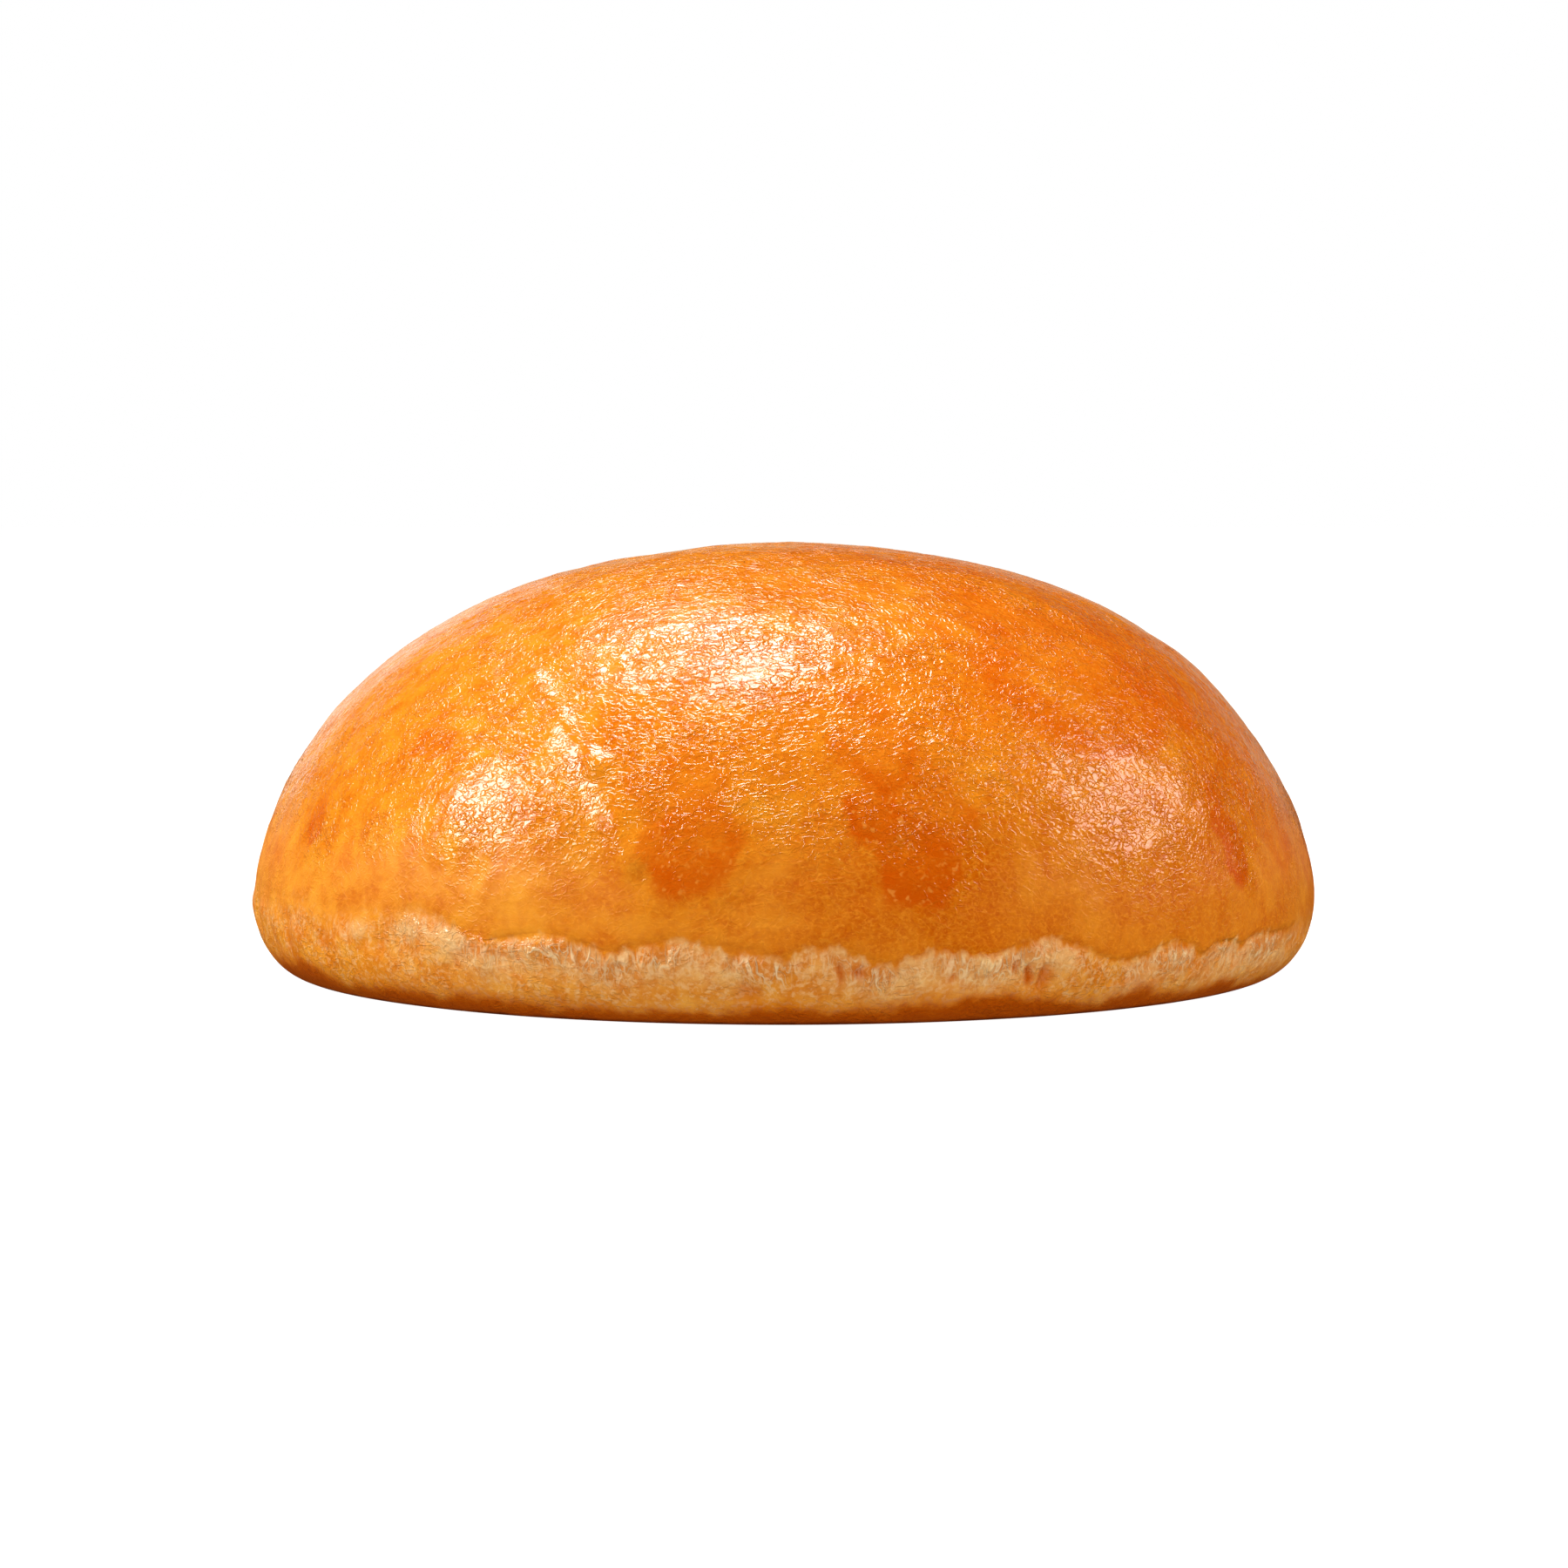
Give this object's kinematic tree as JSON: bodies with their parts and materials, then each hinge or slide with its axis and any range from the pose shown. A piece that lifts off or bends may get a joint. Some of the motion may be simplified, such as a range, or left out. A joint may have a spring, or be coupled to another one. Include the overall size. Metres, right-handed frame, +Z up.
{
  "type": "burger bun top",
  "caption": "Domed top half of a soft burger bun with a glossy glazed crust, a pale pleated waist under the crust's lip, and a flat cut face that rests on the filling",
  "frame": {"origin": "centre of the bottom of the bounding box, on the plane of the cut face", "axes": "+Z up through the crown, front towards -Y, +X to the right seen from the front"},
  "size_m": [0.112, 0.1104, 0.0448],
  "materials": {
    "crust": "glazed, golden-brown baked crust"
  },
  "bodies": {
    "root": {"bun_top": "crust"}
  },
  "joints": []
}
